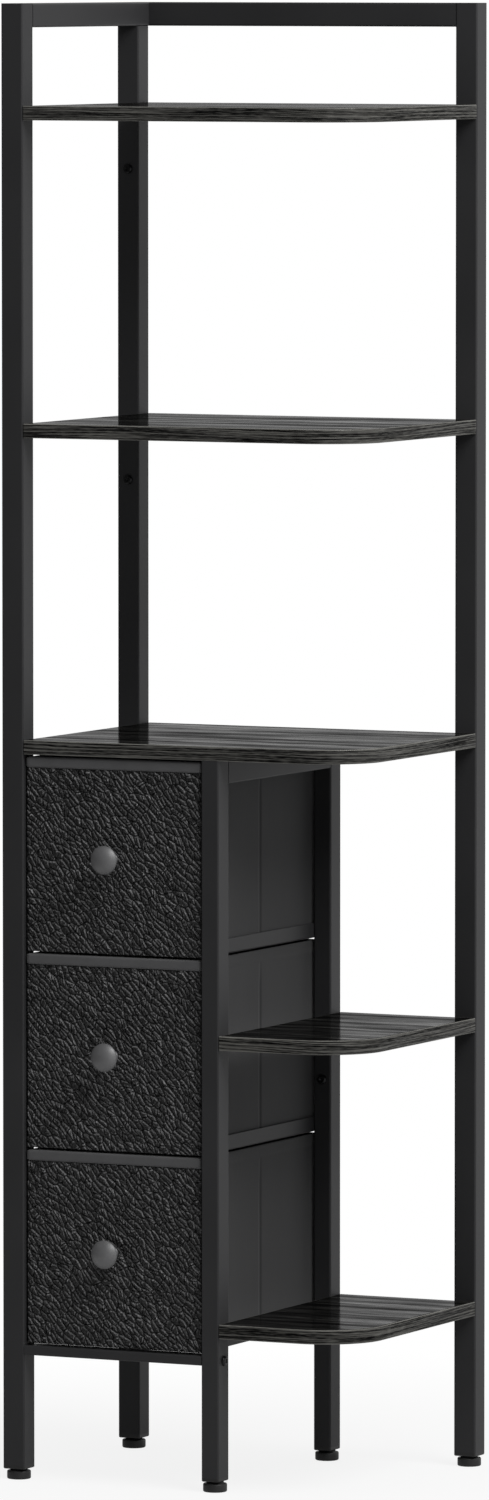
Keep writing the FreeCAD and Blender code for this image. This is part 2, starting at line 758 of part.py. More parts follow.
plug_side = "(post_side - 2 * (tube_wall + plug_clearance))"
plug_corner = f"-{plug_side} / 2"
top_plug = block(
    "top_plug_pattern", "XY_Plane", plug_corner, plug_corner, plug_side, plug_side, "top_plug_height"
)
plug_base = "frame_height - top_plug_height"
group("top_plugs", [
    (top_plug, "up", "left + half_post", "front + half_post", plug_base),
    (top_plug, "up", "right_post_left + half_post", "right_post_front + half_post", plug_base),
    (top_plug, "back", "left + half_post", "rear_face - top_plug_height", "top_rail_base + half_post"),
])


# Bolts: a round head on the outer face of a tube, and a shank


def bolt(label, length):
    """A round-headed bolt: the head lies below its seat and the shank points up."""
    body = new_body(label, "0", "0", "0")
    profile = sketch_on(body, "XZ_Plane")
    outline(profile, [
        ("0", "-bolt_head_height"),
        ("bolt_head_radius", "-bolt_head_height", "bolt_head_rounding"),
        ("bolt_head_radius", "0"),
        ("bolt_radius", "0"),
        ("bolt_radius", length),
        ("0", length),
    ])
    revolve(body, profile)
    return body


post_bolt = bolt("post_bolt_pattern", "post_bolt_length")
long_bolt = bolt("long_bolt_pattern", "post_side + bolt_grip")
divider_bolt = bolt("divider_bolt_pattern", "tube_wall + bolt_grip")
divider_rail_bolt = bolt("divider_rail_bolt_pattern", "divider_width + bolt_grip")

side_ys = ("front + half_post", "rear_post_front + half_post")
side_spots = [(board_middles[shelf], y) for shelf in WIDE_SHELVES for y in side_ys]
low_ys = ("front + half_divider_depth", "rear_divider_front + half_divider_depth")
low_spots = [(board_middles[shelf], y) for shelf in SHORT_SHELVES for y in low_ys]
right_post_x = "right_post_left + half_post"

copies = [(long_bolt, "right", "left", y, z) for z, y in side_spots]
copies += [(long_bolt, "front", right_post_x, "rear_face", z) for z in board_middles.values()]
group("shelf_bolts", copies)
group("divider_shelf_bolts", [
    (divider_bolt, "right", "divider_right - tube_wall", y, z) for z, y in low_spots
])
group("rail_bolts", [
    (long_bolt, "right", "left", "front_rail_bolt_y", "bottom_rail_middle"),
    (long_bolt, "right", "left", "rear_rail_bolt_y", "bottom_rail_middle"),
    (long_bolt, "right", "left", "rear_face - half_post", "top_rail_base + half_post"),
    (divider_rail_bolt, "left", "divider_right", "front_rail_bolt_y", "bottom_rail_middle"),
    (divider_rail_bolt, "left", "divider_right", "rear_rail_bolt_y", "bottom_rail_middle"),
])
divider_x = "divider_left + half_divider_width"
group("rear_post_bolts", [
    (post_bolt, "back", "left + half_post", "rear_post_front", "shelf_1_top - post_bolt_drop"),
    (post_bolt, "back", "left + half_post", "rear_post_front", "shelf_2_top - post_bolt_drop"),
    (post_bolt, "back", divider_x, "rear_divider_front", "shelf_4_top - post_bolt_drop"),
])

# Threaded sleeves pressed into the boards, and nuts in the rail ends

sleeve = new_body("sleeve_pattern", "0", "0", "0")
profile = sketch_on(sleeve, "XZ_Plane")
sleeve_bore = "(bolt_radius + sleeve_clearance)"
outline(profile, rectangle(sleeve_bore, "0", f"sleeve_radius - {sleeve_bore}", "sleeve_length"))
revolve(sleeve, profile)
copies = [(sleeve, "right", "bay_left", y, z) for z, y in side_spots]
copies += [(sleeve, "right", "divider_right", y, z) for z, y in low_spots]
copies += [(sleeve, "front", right_post_x, "right_post_front", z) for z in board_middles.values()]
group("board_sleeves", copies)

nut_bore = "bolt_radius + sleeve_clearance"
nut_depth = "(bottom_rail_depth - 2 * (tube_wall + plug_clearance))"
nut_height = "(bottom_rail_height - 2 * (tube_wall + plug_clearance))"
bottom_nut = block(
    "bottom_nut_pattern", "YZ_Plane", f"-{nut_depth} / 2", f"-{nut_height} / 2", nut_depth, nut_height,
    "end_nut_length", nut_bore,
)
top_nut = block(
    "top_nut_pattern", "YZ_Plane", plug_corner, plug_corner, plug_side, plug_side, "end_nut_length", nut_bore
)
copies = [(top_nut, "up", "bay_left", "rear_face - half_post", "top_rail_base + half_post")]
for y in ("front_rail_bolt_y", "rear_rail_bolt_y"):
    copies.append((bottom_nut, "up", "bay_left", y, "bottom_rail_middle"))
    copies.append((bottom_nut, "up", "divider_left - end_nut_length", y, "bottom_rail_middle"))
group("rail_end_nuts", copies)

# Check the whole document, then write every sub-part

doc.recompute()
for item in doc.Objects:
    if "Invalid" in item.State or "Error" in item.State:
        raise RuntimeError(f"{item.Label} failed to build")
for piece in sub_parts:
    if piece.Shape.isNull() or not piece.Shape.isValid() or piece.Shape.Volume <= 0:
        raise RuntimeError(f"{piece.Label} has no sound shape")

os.makedirs("parts", exist_ok=True)
for piece in sub_parts:
    piece.Shape.exportStep(f"parts/{piece.Label}.step")
print(f"{len(sub_parts)} sub-parts written")
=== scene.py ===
import math

import bpy
import numpy as np
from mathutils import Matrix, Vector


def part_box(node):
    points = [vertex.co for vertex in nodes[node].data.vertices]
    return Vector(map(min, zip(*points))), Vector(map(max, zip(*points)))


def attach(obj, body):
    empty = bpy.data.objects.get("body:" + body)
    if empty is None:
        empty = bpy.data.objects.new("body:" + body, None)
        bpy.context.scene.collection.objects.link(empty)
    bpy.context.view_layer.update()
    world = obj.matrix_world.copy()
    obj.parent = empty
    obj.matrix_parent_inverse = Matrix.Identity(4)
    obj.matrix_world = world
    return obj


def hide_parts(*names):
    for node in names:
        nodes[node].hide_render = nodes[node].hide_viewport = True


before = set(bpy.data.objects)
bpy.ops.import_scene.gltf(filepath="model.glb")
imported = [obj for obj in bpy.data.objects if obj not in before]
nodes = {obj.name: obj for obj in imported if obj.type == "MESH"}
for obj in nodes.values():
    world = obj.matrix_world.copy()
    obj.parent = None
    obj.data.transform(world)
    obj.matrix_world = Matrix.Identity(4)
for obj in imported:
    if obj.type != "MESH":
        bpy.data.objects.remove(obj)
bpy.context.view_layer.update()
scene = bpy.context.scene
scene.view_settings.view_transform = "Standard"

# Camera
# It stands between eleven and twelve metres off, to the right of the unit and just above the height
# of its top, with a long lens, so that the upright tubes come out nearly parallel.

PHOTO_HEIGHT = 1500
FOCAL_PIXELS = 11131.2
PITCH = 4.130
YAW = 25.909
CAMERA_PLACE = (5.0782, -10.4403, 1.6000)
camera_data = bpy.data.cameras.new("camera")
camera_data.lens = camera_data.sensor_width * FOCAL_PIXELS / PHOTO_HEIGHT
camera = bpy.data.objects.new("camera", camera_data)
camera.location = CAMERA_PLACE
camera.rotation_euler = (math.radians(90 - PITCH), 0, math.radians(YAW))
scene.collection.objects.link(camera)
scene.camera = camera

# Studio
# A white room, dim to the front and left, lights the unit from all round. A soft lamp stands high on
# the right, and the pale floor fades into the white.


class Wire:
    """A value in a node tree, with arithmetic that adds the nodes for it."""

    def __init__(self, tree, socket=None):
        self.tree = tree
        self.socket = socket

    def node(self, kind, inputs, output=0, **settings):
        """Adds one node of a kind, sets it up, feeds its inputs and gives one of its outputs."""
        made = self.tree.nodes.new(kind)
        for name, value in settings.items():
            setattr(made, name, value)
        for key, value in inputs.items():
            if isinstance(value, Wire):
                self.tree.links.new(value.socket, made.inputs[key])
            else:
                made.inputs[key].default_value = value
        return Wire(self.tree, made.outputs[output])

    def maths(self, operation, *values):
        """One operation on numbers."""
        return self.node("ShaderNodeMath", dict(enumerate(values)), operation=operation)

    def vector(self, operation, *values, output="Vector"):
        """One operation on places or directions."""
        return self.node("ShaderNodeVectorMath", dict(enumerate(values)), output, operation=operation)

    def __add__(self, other):
        return self.maths("ADD", self, other)

    def __sub__(self, other):
        return self.maths("SUBTRACT", self, other)

    def __mul__(self, other):
        return self.maths("MULTIPLY", self, other)

    def __rsub__(self, other):
        return self.maths("SUBTRACT", other, self)

    __radd__ = __add__
    __rmul__ = __mul__

    def span(self, low, high, start=0.0, end=1.0):
        """Eases from start to end as the value goes from low to high."""
        inputs = {"Value": self, "From Min": low, "From Max": high, "To Min": start, "To Max": end}
        return self.node("ShaderNodeMapRange", inputs, interpolation_type="SMOOTHSTEP")

    def stretch(self, x, y, z):
        """A place, scaled along each axis."""
        return self.vector("MULTIPLY", self, (x, y, z))

    def noise(self, scale, detail=2.0):
        """Soft noise from 0 to 1, with this many lumps to a unit."""
        return self.node("ShaderNodeTexNoise", {"Vector": self, "Scale": scale, "Detail": detail})

    def colour(self, low, high):
        """A colour between two, by the value."""
        return self.node("ShaderNodeMix", {0: self, 6: low, 7: high}, 2, data_type="RGBA")

    def bump(self, strength, distance):
        """A normal tilted by the value as a height."""
        inputs = {"Height": self, "Strength": strength, "Distance": distance}
        return self.node("ShaderNodeBump", inputs)

    def into(self, shader, key):
        """Feeds the value to an input of a shader."""
        self.tree.links.new(self.socket, shader.inputs[key])


def srgb(red, green, blue):
    """A screen colour of 0 to 255 a channel, as the linear colour that shaders take.

    The screen's curve is a power of 2.4 with a short straight foot.
    """
    part = np.array((red, green, blue)) / 255
    linear = np.where(part <= 0.04045, part / 12.92, ((part + 0.055) / 1.055) ** 2.4)
    return (*linear.tolist(), 1.0)


def rays(tree, *kinds):
    """1 for rays of these kinds, 0 for all others: the largest of the marks for each kind."""
    found = Wire(tree).node("ShaderNodeLightPath", {}, kinds[0])
    for kind in kinds[1:]:
        found = found.maths("MAXIMUM", found, found.node("ShaderNodeLightPath", {}, kind))
    return found


AMBIENT = 0.36
DIM_SIDE = 0.14
BRIGHT_WAY = (0.8, 0.6, 0.0)
DIM_UNTIL, BRIGHT_FROM = -0.3, 0.15
world = bpy.data.worlds.new("studio")
scene.world = world
world.use_nodes = True
tree = world.node_tree
backdrop = tree.nodes["Background"]
backdrop.inputs["Color"].default_value = (1, 1, 1, 1)
direction = Wire(tree).node("ShaderNodeTexCoord", {}, "Generated")
facing = direction.vector("DOT_PRODUCT", direction, BRIGHT_WAY, output="Value")
shown = rays(tree, "Is Camera Ray", "Is Transmission Ray")
mirrored = rays(tree, "Is Glossy Ray")
room = mirrored * facing.span(DIM_UNTIL, BRIGHT_FROM, DIM_SIDE, 1.0)
(shown + room + (1 - shown) * (1 - mirrored) * AMBIENT).into(backdrop, "Strength")


def lamp(name, place, target, size, power):
    """A square soft lamp at a place, turned to a target.

    The tilt is the angle of the way to the target from straight down, and the turn is its compass angle.
    """
    light = bpy.data.lights.new(name, "AREA")
    light.size = size
    light.energy = power
    stand = bpy.data.objects.new(name, light)
    way = np.array(target) - np.array(place)
    tilt = math.atan2(math.hypot(way[0], way[1]), -way[2])
    stand.location = place
    stand.rotation_euler = (tilt, 0, math.atan2(way[1], way[0]) - math.pi / 2)
    scene.collection.objects.link(stand)


UNIT_MIDDLE = (0.0, 0.0, 0.8)
LAMP_PLACE = (2.6, -1.1, 3.5)
LAMP_SIZE = 2.2
LAMP_POWER = 150
lamp("side_lamp", LAMP_PLACE, UNIT_MIDDLE, LAMP_SIZE, LAMP_POWER)

FLOOR_HALF = 1.2
FLOOR_GREY = srgb(215, 215, 215)
FLOOR_ROUGHNESS = 0.9
FLOOR_WHITE = 0.86
FLOOR_MIRRORED = 0.4
FADE_FROM, FADE_UNTIL = 0.3, 1.1
floor_mesh = bpy.data.meshes.new("floor")
corners = FLOOR_HALF * np.array([(-1, -1, 0), (1, -1, 0), (1, 1, 0), (-1, 1, 0)])
floor_mesh.from_pydata(corners.tolist(), [], [(0, 1, 2, 3)])
floor = bpy.data.objects.new("floor", floor_mesh)
scene.collection.objects.link(floor)
floor_paint = bpy.data.materials.new("pale_floor")
floor_paint.use_nodes = True
tree = floor_paint.node_tree
paint = tree.nodes["Principled BSDF"]
paint.inputs["Base Color"].default_value = FLOOR_GREY
paint.inputs["Roughness"].default_value = FLOOR_ROUGHNESS
place = Wire(tree).node("ShaderNodeTexCoord", {}, "Object")
away = place.vector("LENGTH", place, output="Value")
shown = rays(tree, "Is Camera Ray", "Is Transmission Ray")
mirrored = rays(tree, "Is Glossy Ray")
white = place.node("ShaderNodeEmission", {"Strength": 1.0})
share = (shown + mirrored * FLOOR_MIRRORED) * away.span(FADE_FROM, FADE_UNTIL, FLOOR_WHITE, 1.0)
mixed = place.node("ShaderNodeMixShader", {0: share, 1: Wire(tree, paint.outputs[0]), 2: white})
mixed.into(tree.nodes["Material Output"], "Surface")
floor_mesh.materials.append(floor_paint)

# Steel tubes and runners
# Square and flat steel tube, and drawer runners bent from sheet, bolted and welded into one frame.
# A satin black powder coat covers them, with a fine orange peel and a slightly uneven sheen.

DRAWERS = (1, 2, 3)
COAT_DARK, COAT_LIGHT = srgb(41, 41, 42), srgb(51, 51, 52)


def surface(name, **fixed):
    """A new material with fixed values on its shader, that shader, and the object coordinates."""
    material = bpy.data.materials.new(name)
    material.use_nodes = True
    shader = material.node_tree.nodes["Principled BSDF"]
    for key, value in fixed.items():
        shader.inputs[key.replace("_", " ")].default_value = value
    return material, shader, Wire(material.node_tree).node("ShaderNodeTexCoord", {}, "Object")


def dress(material, *names):
    """Gives CAD nodes a material."""
    for name in names:
        slots = nodes[name].data.materials
        slots.clear()
        slots.append(material)


powder_coat, shader, place = surface("black_powder_coat", Specular_IOR_Level=0.15)
drift = place.noise(9.0)
peel = place.noise(850.0, 3.0)
drift.colour(COAT_DARK, COAT_LIGHT).into(shader, "Base Color")
(peel * 0.08 + drift * 0.1 + 0.38).into(shader, "Roughness")
peel.bump(0.12, 0.0003).into(shader, "Normal")
dress(
    powder_coat, "front_left_post", "rear_left_post", "right_post", "front_divider_post",
    "rear_divider_post", "top_side_rail", "top_back_rail", "bay_top_rail", "front_bottom_rail",
    "rear_bottom_rail",
)
for number in DRAWERS:
    dress(powder_coat, f"left_runner_{number}", f"right_runner_{number}")

# Boards
# Particle board under a black-oak laminate, with the grain along the back wall. A strip of the same
# laminate covers the edge, with its grain along it. Bolts through the posts hold the boards.

BOARDS = (1, 2, 3, 4, 5)
QUARTER = math.pi / 2
LEAST_RADIUS = 0.0002


def plan_ring(low, high, radii, inset, per_side, per_corner):
    """Points round a rectangle with rounded corners, anticlockwise from the arc of its first corner.

    Each corner is an arc of its own radius about its own centre. An inset moves the ring inwards and
    shortens the radii by as much. Each arc has per_corner points, and each side per_side more.
    """
    low = np.array(low[:2]) + inset
    high = np.array(high[:2]) - inset
    radii = np.maximum(np.array(radii) - inset, LEAST_RADIUS)
    tips = np.array([low, (high[0], low[1]), high, (low[0], high[1])])
    inward = np.array([(1, 1), (-1, 1), (-1, -1), (1, -1)])
    turns = np.linspace(0, QUARTER, per_corner) + math.pi + np.arange(4)[:, None] * QUARTER
    centres = tips + inward * radii[:, None]
    arcs = centres[:, None] + radii[:, None, None] * np.stack([np.cos(turns), np.sin(turns)], -1)
    steps = np.linspace(0, 1, per_side + 2)[1:-1, None]
    sides = arcs[:, -1:] * (1 - steps) + np.roll(arcs[:, :1], -1, axis=0) * steps
    return np.concatenate([arcs, sides], axis=1).reshape(-1, 2)


def stacked_rings(low, high, radii, profile, per_side, per_corner):
    """One ring for each (inset, height) of a profile: the plan's ring, inset, at that height."""
    insets = profile[:, 0]
    plans = np.stack([plan_ring(low, high, radii, inset, per_side, per_corner) for inset in insets])
    heights = np.broadcast_to(profile[:, 1, None, None], (*plans.shape[:2], 1))
    return np.concatenate([plans, heights], -1)


def quads(index):
    """Four-cornered faces between the rows of a table of point numbers."""
    faces = np.stack([index[:-1, :-1], index[:-1, 1:], index[1:, 1:], index[1:, :-1]], -1)
    return faces.reshape(-1, 4).tolist()


def loop_faces(rows, columns):
    """Faces between closed rings of points, one row to a ring, and a flat face over each end."""
    index = np.arange(rows * columns).reshape(rows, columns)
    faces = quads(np.concatenate([index, index[:, :1]], axis=1))
    return faces + [index[0, ::-1].tolist(), index[-1].tolist()]


def piece(name, points, faces, material, body, slot, *replaced):
    """A smooth-shaded mesh that rides on a body and stands for CAD nodes."""
    mesh = bpy.data.meshes.new(name)
    mesh.from_pydata(points.reshape(-1, 3).tolist(), [], faces)
    mesh.polygons.foreach_set("use_smooth", np.ones(len(mesh.polygons), bool))
    mesh.materials.append(material)
    made = bpy.data.objects.new(name, mesh)
    scene.collection.objects.link(made)
    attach(made, body)
    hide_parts(*replaced)
    return made


def mark(made, name, values):
    """Keeps a number for each point of a mesh, for its material to read."""
    made.data.attributes.new(name, "FLOAT", "POINT").data.foreach_set("value", np.ravel(values))


def marked(place, name):
    """The number that the points keep under a name."""
    return place.node("ShaderNodeAttribute", {}, "Fac", attribute_name=name)


def figure(place, along, across, detail, low, high):
    """Streaks in the wood, from 0 at a low level of drawn-out noise to 1 at a high one.

    The noise has so many lumps to a metre along the grain, and so many across it.
    """
    return place.stretch(along, across, 1.0).noise(1.0, detail).span(low, high)


OAK_DARK, OAK_PALE = srgb(9, 9, 9), srgb(112, 111, 107)
GRAIN_SWAY = 0.016
STRIP_LINES, STRIP_FLECKS = 0.52, 0.28
TOP_STREAKS = 0.35
# A painted highlight along the rounded edges of each board, above and below.
EDGE_HIGHLIGHT = 0.8
laminate, shader, place = surface("black_oak_laminate", Specular_IOR_Level=0.0, Coat_Roughness=0.12)
grain = place.node("ShaderNodeUVMap", {}, uv_map="grain")
strip = marked(place, "strip")
edge = marked(place, "edge")
sway = grain.stretch(2.2, 9.0, 1.0).noise(1.0, 1.0)
wander = sway.node("ShaderNodeCombineXYZ", {"Y": (sway - 0.5) * GRAIN_SWAY})
along = grain.vector("ADD", grain, wander)
bands = figure(along, 2.6, 36.0, 2.0, 0.35, 0.68)
fibres = figure(along, 15.0, 470.0, 3.0, 0.42, 0.66)
pores = figure(along, 38.0, 900.0, 2.0, 0.54, 0.66)
flecks = figure(along, 70.0, 800.0, 2.0, 0.42, 0.70)
lines = figure(along, 7.0, 620.0, 2.0, 0.44, 0.64)
light = (bands * 0.45 + 0.55) * fibres * (1 - pores * 0.8)
sparse = fibres * fibres * bands
strip_streaks = strip * (lines * STRIP_LINES + flecks * STRIP_FLECKS)
# The edge mark adds the painted highlight on the rounded edges to the grain's colour.
streak = strip_streaks + (1 - strip) * sparse * TOP_STREAKS + edge * EDGE_HIGHLIGHT
streak.colour(OAK_DARK, OAK_PALE).into(shader, "Base Color")
(0.62 - fibres * 0.15).into(shader, "Roughness")
(0.03 + light * 0.30 + bands * 0.20).into(shader, "Coat Weight")
(fibres * 0.5 - pores).bump(0.15, 0.0002).into(shader, "Normal")

EDGE_ROUND = 0.0010
STRIP_THICKNESS = 0.0013
SEAM_DEPTH = 0.00012
BOARD_CORNER = 0.065
SQUARE_CORNER = 0.0014
BOARD_SIDE_STEPS = 2
BOARD_CORNER_STEPS = 28
UNDERSIDE_SHIFT = (0, 0.5)
STRIP_SHIFT = (0, 0.9)
SHEET_SHIFT = np.array((0.83, 1.37))
ARC_STEPS = 5
arc = np.linspace(0, QUARTER, ARC_STEPS)
seam = [(2 * STRIP_THICKNESS, 0), (1.25 * STRIP_THICKNESS, 0), (STRIP_THICKNESS, -SEAM_DEPTH)]
rounding = np.stack([EDGE_ROUND * (1 - np.sin(arc)), EDGE_ROUND * (np.cos(arc) - 1)], -1)
upper_edge = np.concatenate([seam, rounding])
lower_edge = upper_edge * (1, -1)
# Each edge ring's share of the painted highlight: most half way round the rounding, none on the seam.
on_edge = np.concatenate([np.zeros(len(seam)), np.sin(2 * arc)])
on_strip = np.concatenate([np.zeros(len(seam) - 1), np.ones(1 + len(arc))])
radii = (SQUARE_CORNER, BOARD_CORNER, SQUARE_CORNER, SQUARE_CORNER)
for number in BOARDS:
    low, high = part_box(f"shelf_board_{number}")
    profile = np.concatenate([lower_edge + (0, low.z), (upper_edge + (0, high.z))[::-1]])
    rings = stacked_rings(low, high, radii, profile, BOARD_SIDE_STEPS, BOARD_CORNER_STEPS)
    rows, columns = rings.shape[:2]
    board = piece(
        f"oak_board_{number}", rings, loop_faces(rows, columns), laminate, "frame",
        "black_oak_laminate", f"shelf_board_{number}",
    )
    for label, amount in (("edge", on_edge), ("strip", on_strip)):
        mark(board, label, np.repeat(np.concatenate([amount, amount[::-1]]), columns))
    plans = rings[..., :2]
    outer = plans[rows // 2]
    steps = np.linalg.norm(np.roll(outer, -1, axis=0) - outer, axis=1)
    run = np.concatenate([[0], np.cumsum(steps)])
    rise = np.concatenate([[0], np.cumsum(np.linalg.norm(np.diff(profile, axis=0), axis=1))])
    u = np.stack([run[:-1], run[1:], run[1:], run[:-1]], -1)
    v = np.stack([rise[:-1], rise[:-1], rise[1:], rise[1:]], -1)
    side_uv = np.stack(np.broadcast_arrays(u[None], v[:, None]), -1).reshape(-1, 2)
    flat_uv = np.concatenate([plans[0, ::-1] + UNDERSIDE_SHIFT, plans[-1]])
    corner_uv = np.concatenate([side_uv + STRIP_SHIFT, flat_uv]) + SHEET_SHIFT * number
    board.data.uv_layers.new(name="grain").data.foreach_set("uv", corner_uv.ravel())

# Drawer fronts
# Boards covered in black embossed leather cloth, wrapped round the board's edges: patches drawn out
# along one slant, each with a raised crest down one side, and fine pebbles over them. The crests carry
# a painted highlight, and the grooves are painted darker as shade. The cloth lies flat under the
# knob's base.

SCATTER_SIZE = 64


def grains(along, across, length, width, seed):
    """Each place's distance from its cell's border, its place across the cell, and the cell's number.

    Points are scattered, one to each rectangle of a length and a width. A cell is what lies nearer to
    one point than to all others, and its border runs half way to the second nearest point. The place
    across is in widths from the cell's point, and the number is from 0 to 1.
    """
    scatter = np.random.default_rng(seed).random((SCATTER_SIZE, SCATTER_SIZE, 3))
    around = np.array([(du, dv) for du in (-1, 0, 1) for dv in (-1, 0, 1)])
    u, v = along / length, across / width
    columns = np.floor(u).astype(int)[..., None] + around[:, 0]
    rows = np.floor(v).astype(int)[..., None] + around[:, 1]
    spots = scatter[columns % SCATTER_SIZE, rows % SCATTER_SIZE]
    du = columns + spots[..., 0] - u[..., None]
    dv = rows + spots[..., 1] - v[..., None]
    order = np.argsort(du**2 + dv**2, axis=-1)[..., :2]
    du, dv, own = (np.take_along_axis(values, order, -1) for values in (du, dv, spots[..., 2]))
    lead = np.diff(du**2 + dv**2)[..., 0] / 2
    border = lead / np.hypot(np.diff(du)[..., 0] / length, np.diff(dv)[..., 0] / width)
    return border, -dv[..., 0], own[..., 0]


def ease(value, low, high):
    """Eases from 0 to 1 between two values: three times the share's square, less twice its cube."""
    part = np.clip((value - low) / (high - low), 0, 1)
    return part * part * (3 - 2 * part)


def at_least(least, share):
    """Goes from a least value to 1 as a share goes from 0 to 1."""
    return least + (1 - least) * share


def fall_back(distance, radius):
    """How far an edge rounded by a quarter circle falls back, at a distance inside its outline."""
    return radius - np.sqrt(np.maximum(radius**2 - np.maximum(radius - distance, 0) ** 2, 0))


SLANT = math.radians(47)
WAVES = ((0.0010, 50, 160), (0.0011, 130, 40), (0.0007, 61, -90))
PATCH_LENGTH = 0.0115
PATCH_WIDTH = 0.0052
PATCH_SHARE = 0.34
GROOVE = 0.0012
CREST_PLACE = 0.0013
CREST_WIDTH = 0.0008
CREST_FROM, CREST_UNTIL = -0.1, 0.2
CREST_LEAST = 0.25
CREST_SHARE = 0.30
PEBBLE_LENGTH = 0.0040
PEBBLE_WIDTH = 0.0030
PEBBLE_FLANK = 0.0014
PEBBLE_LEAST = 0.3
PEBBLE_SHARE = 0.36
PEBBLE_SEED = 50
# How much of the crests' painted highlight stays between the pebbles.
HIGHLIGHT_LEAST = 0.4


def leather_relief(x, z, seed):
    """Height from 0 to 1 of the embossed grain over a flat face, and its painted crest highlight, 0 to
    1.

    The face is turned to the slant and bent by slow sine waves, each with a size and a rate along and
    across the slant. Grooves part it into drawn-out patches. Each has a crest that runs just inside one
    long side and is a bell curve of the distance from the groove, and small pebbles of differing heights
    cover all of it. The crests carry a painted highlight, strongest where they cross a pebble.
    """
    along = x * math.cos(SLANT) - z * math.sin(SLANT)
    across = x * math.sin(SLANT) + z * math.cos(SLANT)
    bends = [
        size * np.sin(along * by_along + across * by_across + turn * seed)
        for turn, (size, by_along, by_across) in enumerate(WAVES)
    ]
    u = along + bends[0]
    v = across + bends[1] + bends[2]
    border, side, own = grains(u, v, PATCH_LENGTH, PATCH_WIDTH, seed)
    patch = ease(border, 0.0, GROOVE)
    crest = np.exp(-((border - CREST_PLACE) / CREST_WIDTH) ** 2)
    crest = crest * ease(side, CREST_FROM, CREST_UNTIL) * at_least(CREST_LEAST, own)
    border, _, own = grains(u, v, PEBBLE_LENGTH, PEBBLE_WIDTH, seed + PEBBLE_SEED)
    pebble = ease(border, 0.0, PEBBLE_FLANK) * at_least(PEBBLE_LEAST, own)
    relief = PATCH_SHARE * patch + CREST_SHARE * crest + PEBBLE_SHARE * pebble
    return relief, crest * at_least(HIGHLIGHT_LEAST, pebble)


LEATHER_DARK, LEATHER_PALE = srgb(1, 1, 1), srgb(162, 162, 163)
# Shares of the way from dark to pale: the painted highlight on the crests, the raised parts painted
# lighter than the grooves as shade, and a random cloudy tone.
PAINTED_HIGHLIGHT_TONE, RAISED_TONE, CLOUDY_TONE = 0.95, 0.07, 0.02
LEATHER_BUMP = 0.0030
leather, shader, place = surface("embossed_leather", Specular_IOR_Level=0.22)
height = marked(place, "relief")
painted_highlight = marked(place, "painted_highlight")
fine = place.noise(1700.0)
tone = place.noise(22.0)
# Base colour: the crests' painted highlight and the grooves' painted shade, over a cloudy tone.
pale = height.span(0.1, 0.8) * RAISED_TONE + painted_highlight * PAINTED_HIGHLIGHT_TONE + tone * CLOUDY_TONE
pale.colour(LEATHER_DARK, LEATHER_PALE).into(shader, "Base Color")
(fine * 0.08 + 0.34).into(shader, "Roughness")
(height + fine * 0.01).bump(1.0, LEATHER_BUMP).into(shader, "Normal")

GRAIN_STEP_X = 0.00053
GRAIN_STEP_Z = 0.00076
GRAIN_DEPTH = 0.0018
GRAIN_EDGE = 0.002
WRAP = 0.003
KNOB_SEAT = 0.006
SEAT_FADE = 0.004
BACK_RELIEF = 0.5
edge_lines = WRAP * np.array([0.0, 0.03, 0.12, 0.27, 0.47, 0.72])


def edged_steps(low, high, step):
    """Places from low to high: close together over the wrapped edges, and a step apart between."""
    count = round((high - low - 2 * WRAP) / step)
    middle = np.linspace(low + WRAP, high - WRAP, count)
    return np.concatenate([low + edge_lines, middle, (high - edge_lines)[::-1]])


def middle_of(name):
    """The middle of a CAD node's box."""
    low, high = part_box(name)
    return (low + high) / 2


for number in DRAWERS:
    low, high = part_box(f"drawer_{number}_front")
    steps_x = edged_steps(low.x, high.x, GRAIN_STEP_X)
    x, z = np.meshgrid(steps_x, edged_steps(low.z, high.z, GRAIN_STEP_Z))
    to_edge = np.minimum.reduce([x - low.x, high.x - x, z - low.z, high.z - z])
    relief, painted_highlight = leather_relief(x, z, number)
    knob = middle_of(f"drawer_{number}_knob")
    off_knob = ease(np.hypot(x - knob.x, z - knob.z), KNOB_SEAT, KNOB_SEAT + SEAT_FADE)
    sunk = GRAIN_DEPTH * (1 - relief) * ease(to_edge, 0.0, GRAIN_EDGE) * off_knob
    face = np.stack([x, low.y + fall_back(to_edge, WRAP) + sunk, z], -1).reshape(-1, 3)
    rows, columns = x.shape
    index = np.arange(rows * columns).reshape(rows, columns)
    rim = np.concatenate([index[0, :-1], index[:-1, -1], index[-1, :0:-1], index[:0:-1, 0]])
    back = face[rim] * (1, 0, 1) + (0, high.y, 0)
    back_index = rows * columns + np.arange(len(rim))
    wrap = np.stack([np.append(back_index, back_index[0]), np.append(rim, rim[0])])
    faces = quads(index) + quads(wrap) + [back_index[::-1].tolist()]
    front = piece(
        f"leather_front_{number}", np.concatenate([face, back]), faces, leather, f"drawer_{number}",
        "embossed_leather", f"drawer_{number}_front",
    )
    mark(front, "relief", np.concatenate([relief.ravel(), np.full(len(rim), BACK_RELIEF)]))
    # Each point's share of the painted crest highlight; the back gets none.
    mark(front, "painted_highlight", np.concatenate([painted_highlight.ravel(), np.zeros(len(rim))]))

# Drawer bands
# The plain binding along the top of each front: a strip of woven grey-black cloth, folded over the
# front's upper edge and glued down, so that it is slightly uneven.

BAND_DARK, BAND_LIGHT = srgb(62, 62, 63), srgb(87, 87, 88)
band_cloth, shader, place = surface(
    "band_fabric", Specular_IOR_Level=0.25, Sheen_Weight=0.15, Sheen_Roughness=0.5
)
threads = place.stretch(1.0, 1.0, 0.35).noise(1500.0)
blotch = place.noise(45.0, 3.0)
(threads * 0.5 + blotch * 0.5).colour(BAND_DARK, BAND_LIGHT).into(shader, "Base Color")
(threads * 0.2 + 0.6).into(shader, "Roughness")
threads.bump(0.3, 0.0003).into(shader, "Normal")

